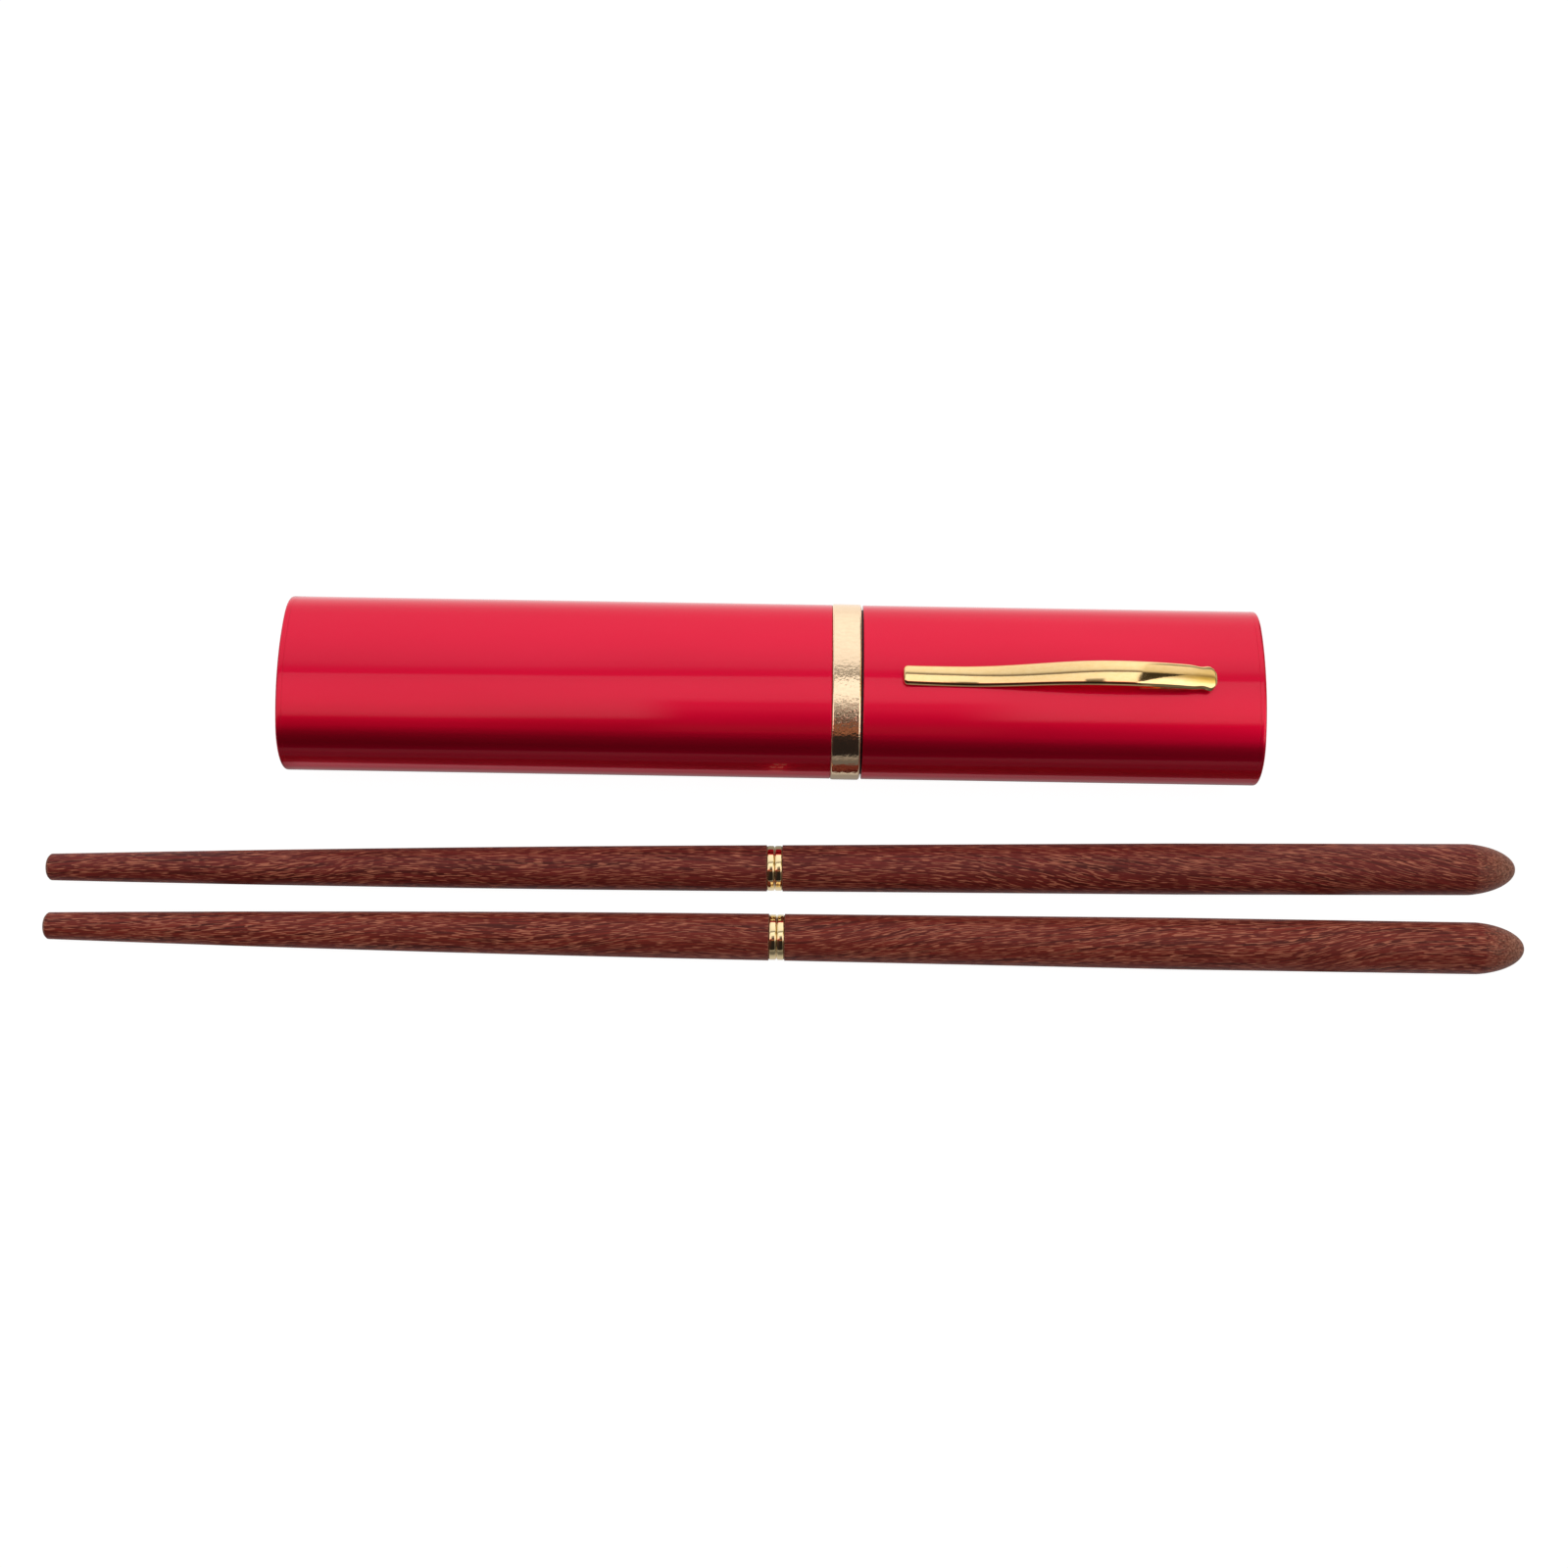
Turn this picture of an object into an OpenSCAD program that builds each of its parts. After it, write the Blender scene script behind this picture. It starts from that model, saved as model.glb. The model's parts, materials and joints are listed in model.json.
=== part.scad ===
// Flat oval pull-off case with a pair of two-piece chopsticks laid in front of it.
// Millimetres, +Z up, +X along the case from the body to the cap.

/* [Case] */
// Width across the oval
case_w = 27.3; // [25:0.1:31]
// Thickness across the oval
case_t = 17.2; // [16.2:0.1:20]
// Radius of the two narrow sides of the oval
side_r = 7.4; // [6.2:0.1:7.6]
// Wall of the two tubes
tube_wall = 0.7; // [0.5:0.05:0.9]
// Length of the body tube
body_len = 82.5; // [60:0.1:110]
// Length of the cap tube
cap_len = 59.5; // [56:0.1:90]
// Thickness of the end plug outside the tube
plug_rim = 0.95; // [0.6:0.05:2]
// Length of the end plug inside the tube
plug_depth = 3; // [2:0.1:6]

/* [Collar] */
// Length of the band between the two tubes
band_len = 4.5; // [3:0.1:8]
// Height of the band above the tubes
band_proud = 0.12; // [0.05:0.01:0.4]
// Gap between the band and the closed cap
mouth_gap = 0.25; // [0.15:0.05:0.5]
// Wall of the neck sleeve
neck_wall = 0.6; // [0.4:0.05:0.8]
// Length of the neck sleeve inside the body tube
neck_in_body = 20; // [10:0.5:30]
// Length of the neck sleeve inside the closed cap
neck_in_cap = 19; // [10:0.5:26]
// Sliding clearance between the neck sleeve and the cap, each side
slide_fit = 0.08; // [0.05:0.01:0.1]

/* [Clip] */
// Length of the clip from its tip to the outside of its bend
clip_len = 47; // [44:0.5:48]
// Distance from the bend to the closed end of the cap tube
clip_from_end = 6.6; // [5:0.1:8]
// Width at the tip
clip_tip_w = 3; // [2.4:0.1:3.6]
// Width at the bend
clip_root_w = 3.9; // [3.4:0.1:4.6]
// Corner radius of the blunt tip
tip_corner = 0.75; // [0.5:0.05:1]
// Corner radius of the round end over the bend
bill_corner = 1.5; // [0.9:0.05:1.6]
// Thickness of the arm
clip_t = 0.8; // [0.6:0.05:0.95]
// Outside radius of the bend
bend_r = 1.15; // [1.1:0.05:1.5]
// Rise of the turned-up tip above the cap
tip_rise = 0.9; // [0.5:0.1:1.5]
// Gap under the arm where it comes nearest to the cap
touch_gap = 0.12; // [0.08:0.01:0.3]
// Distance from the tip to the nearest point
touch_at = 8.5; // [6:0.5:11]
// Gap under the arm where it stands highest
bow_gap = 2.7; // [2.2:0.1:3.4]
// Distance from the tip to the highest point
bow_at = 30; // [26:0.5:33]
// Length of the foot that lies on the cap
foot_len = 10.4; // [8:0.1:12]
// Thickness of the foot
foot_t = 0.6; // [0.4:0.05:0.7]
// Diameter of the rivet shank
rivet_d = 1.5; // [1.2:0.1:1.8]
// Diameter of the rivet heads
rivet_head_d = 2.6; // [2.3:0.1:3]
// Height of each rivet head
rivet_head_h = 0.4; // [0.3:0.05:0.5]
// Thickness of the backing plate inside the cap
backing_t = 0.5; // [0.4:0.05:0.8]

/* [Chopsticks] */
// Length of a tip half with its ferrule
tip_half_len = 111.7; // [90:0.1:130]
// Length of a handle half with its ferrule
handle_half_len = 113.3; // [90:0.1:130]
// Diameter at the tip
tip_d = 4.1; // [3.4:0.1:5]
// Diameter beside the ferrules
joint_d = 7.1; // [6.6:0.1:7.4]
// Diameter of the straight part of the handle
handle_d = 7.85; // [7.6:0.05:8.4]
// Length over which the handle grows to its full diameter
handle_taper_len = 60; // [40:1:75]
// Fullness of the tip half's curved taper, 1 is a straight cone
tip_fullness = 1.6; // [1:0.05:1.6]
// Length of the domed handle end
dome_len = 7.2; // [5:0.1:9]
// Distance from the dome's shoulder back to the middle of its ellipse
dome_back = 1.4; // [0.8:0.1:2]
// Bevel at the edge of the tip
tip_bevel = 0.4; // [0.2:0.05:0.6]
// Visible length of one ferrule
ferrule_len = 1.16; // [0.8:0.02:2]
// Depth of the ferrules below the wood
ferrule_sink = 0.18; // [0.1:0.02:0.3]
// Diameter of the ferrule barrel inside the wood
barrel_d = 4.9; // [4.4:0.1:5.2]
// Length of the ferrule barrel inside the wood
barrel_len = 9.5; // [9:0.1:14]
// Diameter of the screw stud
stud_d = 3.5; // [3:0.1:3.8]
// Length of the screw stud
stud_len = 8; // [5:0.1:8.5]
// Clearance round the stud, each side
stud_fit = 0.05; // [0.03:0.01:0.08]
// Space between the two ferrules
seam = 0.03; // [0.02:0.01:0.06]

/* [Layout] */
// From the case axis to the rear chopstick
rear_gap = 26.9; // [24:0.1:40]
// From the rear chopstick to the front one
front_gap = 10.7; // [10:0.1:20]
// Turn of the rear chopstick about the vertical
rear_turn = 0.8; // [0:0.1:0.8]
// Shift of each chopstick along X, rear back and front forward
stick_shift = 0.245; // [0:0.005:2]
// Shift of the case along X
case_shift = -2; // [-10:0.1:10]

/* [Hidden] */
$fn = 96;
// cutters reach this far past the face they cut
over = 1;

// oval section: two flat arcs and two side arcs that meet smoothly
oval_a = case_w / 2;
oval_b = case_t / 2;
flat_r = (oval_a * oval_a - 2 * oval_a * side_r + oval_b * oval_b) / (2 * (oval_b - side_r));
side_x = oval_a - side_r;
flat_y = flat_r - oval_b;

// stations along the case, measured from the middle of its length
case_len = 2 * plug_rim + body_len + band_len + mouth_gap + cap_len;
x_body_end = -case_len / 2;
x_body = x_body_end + plug_rim;
x_band = x_body + body_len;
x_neck_step = x_band + band_len;
x_cap = x_neck_step + mouth_gap;
x_neck_in = x_band - neck_in_body;
x_neck_out = x_cap + neck_in_cap;
x_cap_plug = x_cap + cap_len;
x_cap_end = x_cap_plug + plug_rim;

// clip stations, s runs from the tip to the bend
rivet_share = 0.4;
clip_x = x_cap_plug - clip_from_end - clip_len;
bend_s = clip_len - bend_r;
foot_s = clip_len - foot_len - bend_r;
rivet_s = foot_s + rivet_share * foot_len;
root_gap = 2 * bend_r - clip_t;
bend_split = 45;
bend_slit = 5;
rivet_fit = 0.1;
rivet_hole_d = rivet_d + rivet_fit;
backing_l_heads = 2;
backing_w_heads = 1.6;
backing_l = backing_l_heads * rivet_head_d;
backing_w = backing_w_heads * rivet_head_d;
// the flat plate meets the round wall at its two long edges
inner_flat_r = flat_r - tube_wall;
backing_sag = inner_flat_r - sqrt(inner_flat_r * inner_flat_r - backing_w * backing_w / 4);
backing_z = oval_b - tube_wall - backing_sag - backing_t;
bend_steps = 10;
arm_steps = 10;

// chopstick sizes
tip_r = tip_d / 2;
joint_r = joint_d / 2;
handle_r = handle_d / 2;
ferrule_r = joint_r - ferrule_sink;
barrel_r = barrel_d / 2;
stud_r = stud_d / 2;
socket_r = stud_r + stud_fit;
socket_spare = 0.8;
socket_len = stud_len + socket_spare;
tip_steps = 12;
dome_steps = 8;
x_tip_end = -tip_half_len;
x_tip_wood = -ferrule_len - seam / 2;
x_handle_wood = ferrule_len + seam / 2;
x_dome = handle_half_len - dome_len;
dome_a = dome_len + dome_back;
dome_b = handle_r / sqrt(1 - pow(dome_back / dome_a, 2));

// layout: the middle of the whole set is the origin, everything rests on Z = 0
set_y = rear_gap + front_gap;
case_y = (set_y + handle_r - oval_a - band_proud) / 2;
case_z = oval_b + band_proud;
rear_y = case_y - rear_gap;
front_y = rear_y - front_gap;
stick_tilt = atan((handle_r - joint_r) / handle_taper_len);
stick_z = joint_r * cos(stick_tilt) - x_handle_wood * sin(stick_tilt);
stick_mid = (handle_half_len - tip_half_len) / 2;

red = [0.80, 0.10, 0.16];
gold = [0.93, 0.78, 0.48];
black = [0.06, 0.06, 0.07];
steel = [0.70, 0.70, 0.72];
wood = [0.36, 0.15, 0.12];

// Piece to draw

// Oval section, made smaller all round by inset
module oval(inset) {
    join_x = side_x * (flat_r - inset) / (flat_r - side_r);
    intersection() {
        translate([0, -flat_y]) circle(r = flat_r - inset);
        translate([0, flat_y]) circle(r = flat_r - inset);
        square([2 * join_x, case_t], center = true);
    }
    for (side = [-1, 1])
        translate([side * side_x, 0]) circle(r = side_r - inset);
}

// Solid with the oval section from one station to another
module oval_bar(from, to, inset) {
    translate([from, 0, 0]) rotate([90, 0, 90]) linear_extrude(to - from) oval(inset);
}

module at_case() {
    translate([case_shift, case_y, case_z]) children();
}

module body_tube() {
    color(red) at_case() difference() {
        oval_bar(x_body, x_band, 0);
        oval_bar(x_body - over, x_band + over, tube_wall);
    }
}

module body_end_plug() {
    color(red) at_case() {
        oval_bar(x_body_end, x_body, 0);
        oval_bar(x_body, x_body + plug_depth, tube_wall);
    }
}

module neck_sleeve() {
    color(black) at_case() difference() {
        union() {
            oval_bar(x_neck_in, x_neck_step, tube_wall);
            oval_bar(x_neck_step, x_neck_out, tube_wall + slide_fit);
        }
        oval_bar(x_neck_in - over, x_neck_out + over, tube_wall + slide_fit + neck_wall);
    }
}

module collar_band() {
    color(gold) at_case() difference() {
        oval_bar(x_band, x_neck_step, -band_proud);
        oval_bar(x_band - over, x_neck_step + over, tube_wall);
    }
}

module cap_tube() {
    color(red) at_case() difference() {
        oval_bar(x_cap, x_cap_plug, 0);
        oval_bar(x_cap - over, x_cap_plug + over, tube_wall);
        at_rivet() cylinder(d = rivet_hole_d, h = oval_b);
    }
}

module cap_end_plug() {
    color(red) at_case() {
        oval_bar(x_cap_plug, x_cap_end, 0);
        oval_bar(x_cap_plug - plug_depth, x_cap_plug, tube_wall);
    }
}

module at_rivet() {
    translate([clip_x + rivet_s, 0, 0]) children();
}

// Clip frame: X from the tip to the bend, Z up from the top of the cap
module at_clip() {
    at_case() translate([clip_x, 0, oval_b]) children();
}

// Gap under the arm at a distance from the tip
function ease(u) = (1 - cos(180 * u)) / 2;
function gap_at(s) =
    s < touch_at ? touch_gap + (tip_rise - touch_gap) * pow(1 - s / touch_at, 2) :
    s < bow_at ? touch_gap + (bow_gap - touch_gap) * ease((s - touch_at) / (bow_at - touch_at)) :
    bow_gap + (root_gap - bow_gap) * ease((s - bow_at) / (bend_s - bow_at));

// Distances from the tip at which the arm's side view is drawn
function arm_stations() = concat(
    [for (i = [0:arm_steps - 1]) touch_at * i / arm_steps],
    [for (i = [0:arm_steps - 1]) touch_at + (bow_at - touch_at) * i / arm_steps],
    [for (i = [0:arm_steps]) bow_at + (bend_s - bow_at) * i / arm_steps]);

// Point on a circle round the bend's axis
function bend_point(r, angle) = [bend_s + r * cos(angle), bend_r + r * sin(angle)];
function bend_arc(r, from, to) =
    [for (i = [0:bend_steps]) bend_point(r, from + (to - from) * i / bend_steps)];

module side_view(points) {
    rotate([90, 0, 0]) linear_extrude(2 * clip_root_w, center = true) polygon(points);
}

// Outline of the clip from above
module clip_plan() {
    tip_half = clip_tip_w / 2;
    root_half = clip_root_w / 2;
    tip_y = tip_half - tip_corner;
    bill_y = root_half - bill_corner;
    bill_s = clip_len - bill_corner;
    polygon([
        [tip_corner, -tip_half], [bill_s, -root_half],
        [bill_s, root_half], [tip_corner, tip_half]]);
    translate([0, -tip_y]) square([tip_corner + over, 2 * tip_y]);
    translate([bill_s - over, -bill_y]) square([over + bill_corner, 2 * bill_y]);
    for (side = [-1, 1]) {
        translate([tip_corner, side * tip_y]) circle(r = tip_corner);
        translate([bill_s, side * bill_y]) circle(r = bill_corner);
    }
}

module clip_arm() {
    stations = arm_stations();
    last = len(stations) - 2;
    under = [for (i = [0:last]) [stations[i], gap_at(stations[i])]];
    top = [for (i = [last:-1:0]) [stations[i], gap_at(stations[i]) + clip_t]];
    arc_in = bend_arc(bend_r - clip_t, 90, bend_slit - bend_split);
    arc_out = bend_arc(bend_r, bend_slit - bend_split, 90);
    color(gold) at_clip() intersection() {
        side_view(concat(under, arc_in, arc_out, top));
        linear_extrude(2 * case_t) clip_plan();
    }
}

module clip_foot() {
    arc_out = bend_arc(bend_r, -bend_slit - bend_split, -90);
    arc_in = bend_arc(bend_r - foot_t, -90, -bend_slit - bend_split);
    leaf = [[foot_s, 0], [foot_s, foot_t]];
    color(gold) difference() {
        at_clip() intersection() {
            side_view(concat(leaf, arc_in, arc_out));
            linear_extrude(case_t) clip_plan();
        }
        at_case() at_rivet() cylinder(d = rivet_hole_d, h = 2 * case_t);
    }
}

module clip_rivet() {
    head_z = oval_b + foot_t;
    color(steel) at_case() at_rivet() {
        translate([0, 0, head_z]) cylinder(d = rivet_head_d, h = rivet_head_h);
        translate([0, 0, backing_z]) cylinder(d = rivet_d, h = head_z - backing_z);
        translate([0, 0, backing_z - rivet_head_h]) cylinder(d = rivet_head_d, h = rivet_head_h);
    }
}

module clip_backing_plate() {
    color(steel) at_case() at_rivet() difference() {
        translate([-backing_l / 2, -backing_w / 2, backing_z]) cube([backing_l, backing_w, backing_t]);
        cylinder(d = rivet_hole_d, h = oval_b);
    }
}

// Chopstick frame: X from the tip to the handle end along the axis, 0 between the two ferrules
module at_rear() {
    translate([-stick_shift, rear_y, 0]) rotate([0, 0, rear_turn]) at_stick() children();
}

module at_front() {
    translate([stick_shift, front_y, 0]) at_stick() children();
}

module at_stick() {
    translate([-stick_mid, 0, stick_z]) rotate([0, -stick_tilt, 0]) children();
}

// Round solid about X from a list of [radius, station]
module turned(points) {
    rotate([0, 90, 0]) rotate_extrude() polygon(points);
}

module rod(from, to, r) {
    translate([from, 0, 0]) rotate([0, 90, 0]) cylinder(r = r, h = to - from);
}

function tip_radius(u) = tip_r + (joint_r - tip_r) * (tip_fullness * u - (tip_fullness - 1) * u * u);
function dome_radius(d) = dome_b * sqrt(max(0, 1 - pow((d + dome_back) / dome_a, 2)));

module tip_shaft() {
    taper = x_tip_wood - x_tip_end - tip_bevel;
    difference() {
        turned(concat(
            [[0, x_tip_end], [tip_r - tip_bevel, x_tip_end]],
            [for (i = [0:tip_steps])
                [tip_radius(i / tip_steps), x_tip_end + tip_bevel + taper * i / tip_steps]],
            [[0, x_tip_wood]]));
        rod(x_tip_wood - barrel_len, x_tip_wood + over, barrel_r);
    }
}

module tip_ferrule() {
    rod(x_tip_wood - barrel_len, x_tip_wood, barrel_r);
    rod(x_tip_wood, -seam / 2, ferrule_r);
    rod(-seam / 2, stud_len, stud_r);
}

module handle_shaft() {
    difference() {
        turned(concat(
            [[0, x_handle_wood], [joint_r, x_handle_wood], [handle_r, x_handle_wood + handle_taper_len]],
            [for (i = [0:dome_steps])
                let (d = dome_len * (1 - pow(1 - i / dome_steps, 2))) [dome_radius(d), x_dome + d]]));
        rod(x_handle_wood - over, x_handle_wood + barrel_len, barrel_r);
    }
}

module handle_ferrule() {
    difference() {
        union() {
            rod(seam / 2, x_handle_wood, ferrule_r);
            rod(x_handle_wood, x_handle_wood + barrel_len, barrel_r);
        }
        rod(-over, socket_len, socket_r);
    }
}

module rear_handle_shaft() {
    color(wood) at_rear() handle_shaft();
}

module rear_handle_ferrule() {
    color(gold) at_rear() handle_ferrule();
}

module rear_tip_shaft() {
    color(wood) at_rear() tip_shaft();
}

module rear_tip_ferrule() {
    color(gold) at_rear() tip_ferrule();
}

module front_handle_shaft() {
    color(wood) at_front() handle_shaft();
}

module front_handle_ferrule() {
    color(gold) at_front() handle_ferrule();
}

module front_tip_shaft() {
    color(wood) at_front() tip_shaft();
}

module front_tip_ferrule() {
    color(gold) at_front() tip_ferrule();
}

body_tube();
body_end_plug();
neck_sleeve();
collar_band();
cap_tube();
cap_end_plug();
clip_arm();
clip_foot();
clip_rivet();
clip_backing_plate();
rear_handle_shaft();
rear_handle_ferrule();
rear_tip_shaft();
rear_tip_ferrule();
front_handle_shaft();
front_handle_ferrule();
front_tip_shaft();
front_tip_ferrule();
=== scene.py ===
"""Looks of a flat oval travel case and its pair of two-piece chopsticks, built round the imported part."""
import json
import math

import bmesh
import bpy
from mathutils import Matrix, Vector


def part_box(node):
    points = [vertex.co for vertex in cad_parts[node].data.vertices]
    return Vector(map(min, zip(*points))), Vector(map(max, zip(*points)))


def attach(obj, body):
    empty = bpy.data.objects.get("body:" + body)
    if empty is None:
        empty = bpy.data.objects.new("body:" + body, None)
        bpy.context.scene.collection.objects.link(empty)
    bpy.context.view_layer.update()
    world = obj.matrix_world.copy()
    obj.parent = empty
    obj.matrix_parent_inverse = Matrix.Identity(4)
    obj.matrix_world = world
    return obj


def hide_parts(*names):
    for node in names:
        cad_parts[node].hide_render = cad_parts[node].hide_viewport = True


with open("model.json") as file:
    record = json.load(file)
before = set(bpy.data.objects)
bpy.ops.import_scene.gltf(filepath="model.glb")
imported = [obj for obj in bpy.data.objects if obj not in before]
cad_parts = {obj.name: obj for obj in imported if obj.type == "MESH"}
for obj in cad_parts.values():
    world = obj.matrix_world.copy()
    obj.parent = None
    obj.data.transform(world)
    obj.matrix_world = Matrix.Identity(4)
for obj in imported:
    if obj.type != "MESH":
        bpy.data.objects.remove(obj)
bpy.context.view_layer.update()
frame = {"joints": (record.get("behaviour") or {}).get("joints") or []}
scene = bpy.context.scene
MM = 0.001
MERGE_GAP = 0.00001 * MM
FLAT_WEIGHT = 100

# Case, in metres
body_low, body_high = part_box("body_tube")
cap_low, cap_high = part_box("cap_tube")
band_low, band_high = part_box("collar_band")
neck_low, neck_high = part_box("neck_sleeve")
body_plug_low, body_plug_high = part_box("body_end_plug")
cap_plug_low, cap_plug_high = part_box("cap_end_plug")
CASE_Y = (body_low.y + body_high.y) / 2
CASE_Z = (body_low.z + body_high.z) / 2
OVAL_A = (body_high.y - body_low.y) / 2
OVAL_B = (body_high.z - body_low.z) / 2
SIDE_R = 7.4 * MM
FLAT_R = (OVAL_A ** 2 - 2 * OVAL_A * SIDE_R + OVAL_B ** 2) / (2 * (OVAL_B - SIDE_R))
SIDE_Y = OVAL_A - SIDE_R
FLAT_Z = FLAT_R - OVAL_B
SIDE_STEPS = 40
FLAT_STEPS = 56
TUBE_WALL = 0.7 * MM
SLIDE_FIT = 0.08 * MM
NECK_WALL = 0.6 * MM
JOINT_EDGE = 0.03 * MM
TUBE_EDGE = 0.07 * MM
MOUTH_EDGE = 0.12 * MM
BAND_EDGE = 0.38 * MM
NECK_EDGE = 0.2 * MM
PLUG_EDGE = 0.38 * MM
EDGE_STEPS = 6
PLUG_FACE_INSET = OVAL_B / 4

# Clip, in metres, stations run from the tip to the bend
arm_low, arm_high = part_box("clip_arm")
foot_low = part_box("clip_foot")[0]
rivet_low, rivet_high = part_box("clip_rivet")
plate_low, plate_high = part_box("clip_backing_plate")
CLIP_LEN = arm_high.x - arm_low.x
TIP_HALF = 1.5 * MM
ROOT_HALF = 1.95 * MM
CLIP_T = 0.8 * MM
BEND_R = 0.9 * MM
TIP_RISE = 0.45 * MM
TOUCH_GAP = 0.12 * MM
TOUCH_AT = 8.5 * MM
BOW_GAP = 3.2 * MM
BOW_AT = 30.5 * MM
BEND_S = CLIP_LEN - BEND_R
BEND_START = 75
BEND_END = -90
ROOT_GAP = BEND_R + (BEND_R - CLIP_T) * math.sin(math.radians(BEND_START))
FOOT_T = 0.6 * MM
SPLIT_ANGLE = -45
SPLIT_SLIT = 5
CROWN = 0.19 * MM
SHOULDER_R = 0.75 * MM
FACET_TILT = math.radians(48)
FACET_RUN = 0.13 * MM
FACET_EDGE = 0.03 * MM
ARM_EDGE = 0.1 * MM
TIP_SHOULDER = 0.3 * MM
FOOT_EDGE = 0.1 * MM
TIP_CORNER = 0.75 * MM
BILL_LEN = 1.7 * MM
BILL_END = 0.1
WAIST = 0.24 * MM
WAIST_AT = 2.5 * MM
WAIST_SPAN = 1.1 * MM
BILL_FLARE = 0.17 * MM
SWELL = 0.11 * MM
SWELL_SPAN = 9 * MM
FOOT_SHARE = 0.78
TIP_STEPS = 16
ARM_STEPS = 120
ARM_EDGE_STEPS = 2
CROWN_STEPS = 7
SHOULDER_STEPS = 8
BEND_STEPS = 24
SLOPE_REACH = 0.02 * MM
RIVET_R = 0.75 * MM
RIVET_HEAD_H = 0.4 * MM
RIVET_EDGE = 0.25 * MM
PLATE_EDGE = 0.12 * MM
PLATE_EDGE_STEPS = 2

# Chopsticks, in metres, stations run along the axis from the joint to the handle end
TIP_LEN = 111.7 * MM
HANDLE_LEN = 113.3 * MM
TIP_R = 2.05 * MM
JOINT_R = 3.55 * MM
HANDLE_R = 3.925 * MM
TAPER_LEN = 60 * MM
TIP_FULLNESS = 1.6
DOME_LEN = 7.2 * MM
DOME_BACK = 1.4 * MM
TIP_BEVEL = 0.4 * MM
FERRULE_LEN = 1.16 * MM
FERRULE_SINK = 0.1 * MM
FERRULE_EDGE = 0.3 * MM
SEAM = 0.03 * MM
BARREL_R = 2.45 * MM
BARREL_LEN = 9.5 * MM
STUD_LEN = 8 * MM
SOCKET_R = 1.8 * MM
SOCKET_LEN = 8.8 * MM
CORE_R = 1.45 * MM
CREST_R = 1.7 * MM
THREAD_PITCH = 1 * MM
THREAD_START = 0.6 * MM
THREAD_END = 0.7 * MM
RIDGE_SINK = 0.06 * MM
THREAD_TURN_STEPS = 40
RIDGE_STEPS = 8
WOOD_EDGE = 0.12 * MM
WOOD_START = FERRULE_LEN + SEAM / 2
ROUND_STEPS = 72
TAPER_STEPS = 40
DOME_STEPS = 28

# Finishes: a pattern is a scale along each axis, per metre, and a detail; a bump is a strength and a depth
NOISE_ROUGH = 0.5
NOISE_MIDDLE = (0.3, 0.7)
RED_TONES = ((0.775, 0.0012, 0.04), (0.805, 0.0015, 0.044))
RED_LINES = ((12, 2600, 2600), 3)
RED_WAVES = ((14, 110, 110), 1)
RED_CLOUDS = ((40, 120, 120), 2)
RED_SATIN = (0.31, 0.35)
RED_BROAD = 0.56
RED_BROAD_SHARE = 0.31
RED_WAVE_BUMP = (0.3, 0.3 * MM)
RED_LINE_BUMP = (0.03, 0.02 * MM)
RED_SKIN = {"Metallic": 1.0, "Coat Weight": 1.0, "Coat Roughness": 0.03, "Coat IOR": 1.36}
GOLDS = {
    "band_gold": {
        "bright": (0.97, 0.74, 0.5), "deep": (0.93, 0.69, 0.46), "haze": 0.09, "peel": 1900, "uneven": 0.8},
    "clip_gold": {
        "bright": (0.96, 0.69, 0.34), "deep": (0.92, 0.63, 0.28), "haze": 0.05, "peel": 700, "uneven": 0.12},
    "ferrule_gold": {
        "bright": (0.97, 0.78, 0.45), "deep": (0.94, 0.74, 0.41), "haze": 0.06, "peel": 700, "uneven": 0.1},
}
GOLD_HAZE = ((900, 2500, 2500), 3)
GOLD_HAZE_SPREAD = 1.6
GOLD_TINT_RANGE = (0.35, 0.75)
GOLD_PEEL_DETAIL = 2
GOLD_PEEL_DEPTH = 0.04 * MM
BLACK = (0.012, 0.012, 0.013, 1)
BLACK_GRAIN = ((3000, 3000, 3000), 2)
BLACK_ROUGH = (0.42, 0.55)
BLACK_BUMP = (0.2, 0.02 * MM)
STEEL = (0.56, 0.56, 0.58, 1)
STEEL_MARKS = ((600, 4000, 4000), 3)
STEEL_ROUGH = (0.25, 0.4)

# Wood: the slope of the grain is in degrees, and the seed moves each chopstick to another part of the pattern
STICKS = {
    "rear": {"seed": 0.31, "tip_slope": 3, "handle_slope": -8, "light": (0.245, 0.03, 0.023)},
    "front": {"seed": 1.87, "tip_slope": 4, "handle_slope": 7, "light": (0.285, 0.036, 0.021)},
}
WOOD_DRIFT = ((34, 70, 70), 0)
WOOD_SWING = 1.6
WOOD_FIBRES = ((110, 7500, 7500), 2)
WOOD_BANDS = ((65, 2300, 2300), 2)
WOOD_PATCHES = ((70, 500, 500), 1)
WOOD_PORES = ((560, 8800, 8800), 0)
WOOD_GROUND = (0.11, 0.012, 0.009)
WOOD_DARK = (0.055, 0.006, 0.004)
WOOD_DARK_RANGE = (0.36, 0.48)
WOOD_DARK_SHARE = 0.7
WOOD_PATCH_RANGE = (0.35, 0.65)
WOOD_PATCH_LIFT = (-0.03, 0.04)
WOOD_FLECK = (0.5, 0.16, 0.095)
WOOD_FLECK_RANGE = (0.59, 0.67)
WOOD_ROUGH = (0.46, 0.6)
WOOD_BUMP = (0.12, 0.04 * MM)
WOOD_GLOSS = 0.24
SAWN_SPECKS = ((3000, 3000, 3000), 1)
SAWN_SPECK_RANGE = (0.38, 0.62)
SAWN_TONES = ((0.15, 0.07, 0.046), (0.46, 0.235, 0.16))
SAWN_FACING = (0.04, 0.45)
SAWN_SHARE = 0.65

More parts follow.
